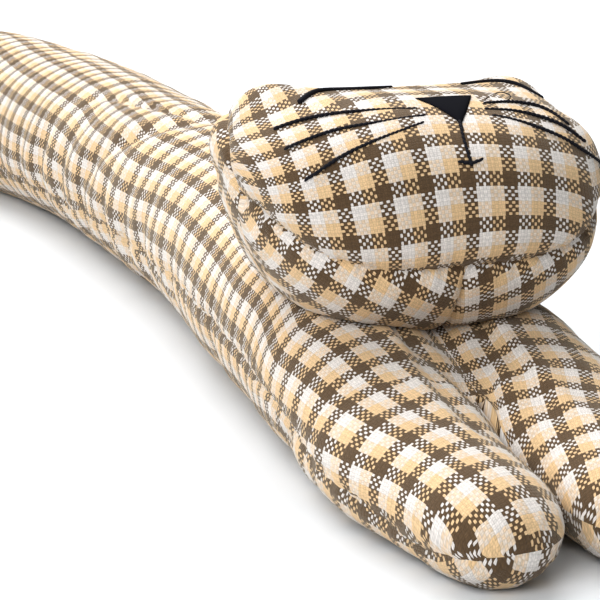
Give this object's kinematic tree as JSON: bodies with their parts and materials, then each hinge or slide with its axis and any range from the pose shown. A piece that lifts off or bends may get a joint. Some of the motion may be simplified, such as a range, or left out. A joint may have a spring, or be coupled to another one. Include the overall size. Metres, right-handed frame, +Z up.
{
  "type": "draught excluder",
  "caption": "Filled cloth draught excluder shaped as a lying cat: long round body, forelegs stretched forward and a wide cushion head with a small sewn nose.",
  "frame": {"origin": "on the floor, under the middle of the whole part's box", "axes": "+X along the body towards the paws, +Z up"},
  "size_m": [0.8504, 0.203, 0.1419],
  "materials": {
    "checked_cloth_body": "woven cotton check in brown, white and tan",
    "checked_cloth_head": "woven cotton check in brown, white and tan",
    "dark_satin": "black satin weave"
  },
  "bodies": {
    "root": {"body": "checked_cloth_body", "head": "checked_cloth_head", "nose": "dark_satin"}
  },
  "joints": []
}
